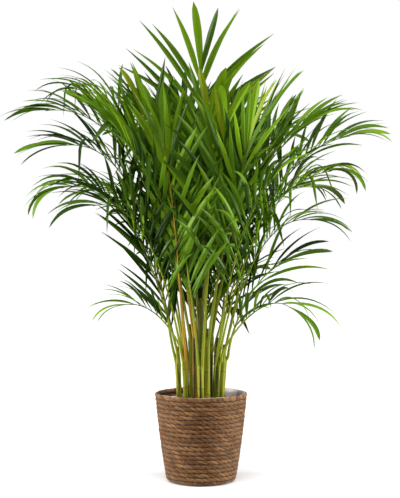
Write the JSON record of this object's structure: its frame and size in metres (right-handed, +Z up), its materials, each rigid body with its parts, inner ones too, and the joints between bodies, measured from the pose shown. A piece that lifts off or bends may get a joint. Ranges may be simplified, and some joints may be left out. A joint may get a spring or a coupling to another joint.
{
  "type": "potted areca palm",
  "caption": "Clumping feather palm in a lined round rope basket: upright yellow-green canes, arching fronds of narrow paired leaflets and an upright frond at the top.",
  "frame": {"origin": "centre of the basket's flat underside", "axes": "+Z up, +X to the right in the picture, +Y away from the viewer"},
  "size_m": [1.0688, 0.8535, 1.2967],
  "materials": {
    "rope": "matt twisted seagrass rope, brown and straw",
    "liner_film": "thin pale plastic film",
    "soil": "dark crumbly compost",
    "cane_skin": "satin yellow-green stalk skin",
    "leaf": "satin to semi-gloss green leaf"
  },
  "bodies": {
    "root": {"basket": "rope", "liner": "liner_film", "soil": "soil", "cane_right": "cane_skin", "cane_back_right": "cane_skin", "cane_back": "cane_skin", "cane_back_left": "cane_skin", "cane_left": "cane_skin", "cane_front_left": "cane_skin", "cane_front": "cane_skin", "cane_front_right": "cane_skin", "cane_inner_right": "cane_skin", "cane_inner_back": "cane_skin", "cane_inner_left": "cane_skin", "cane_inner_front_left": "cane_skin", "cane_inner_front_right": "cane_skin", "cane_middle": "cane_skin", "frond_top": "leaf", "frond_top_left": "leaf", "frond_top_behind": "leaf", "frond_left_high": "leaf", "frond_left_high_back": "leaf", "frond_left_middle": "leaf", "frond_left_low": "leaf", "frond_left_front_low": "leaf", "frond_left_inner": "leaf", "frond_left_steep": "leaf", "frond_left_foot": "leaf", "frond_right_high": "leaf", "frond_right_high_back": "leaf", "frond_right_upper": "leaf", "frond_right_arch": "leaf", "frond_right_front": "leaf", "frond_right_middle": "leaf", "frond_right_low": "leaf", "frond_right_foot": "leaf", "frond_front_high": "leaf", "frond_front_left": "leaf", "frond_front_right": "leaf", "frond_front_arch": "leaf", "frond_front_arch_left": "leaf", "frond_front_low_right": "leaf", "frond_front_low": "leaf", "frond_back_high": "leaf", "frond_back_high_left": "leaf", "frond_back_high_right": "leaf", "frond_back_arch": "leaf", "frond_back_arch_right": "leaf", "frond_back_arch_left": "leaf", "frond_back_low": "leaf", "frond_back_low_left": "leaf", "frond_back_foot_right": "leaf"}
  },
  "joints": []
}
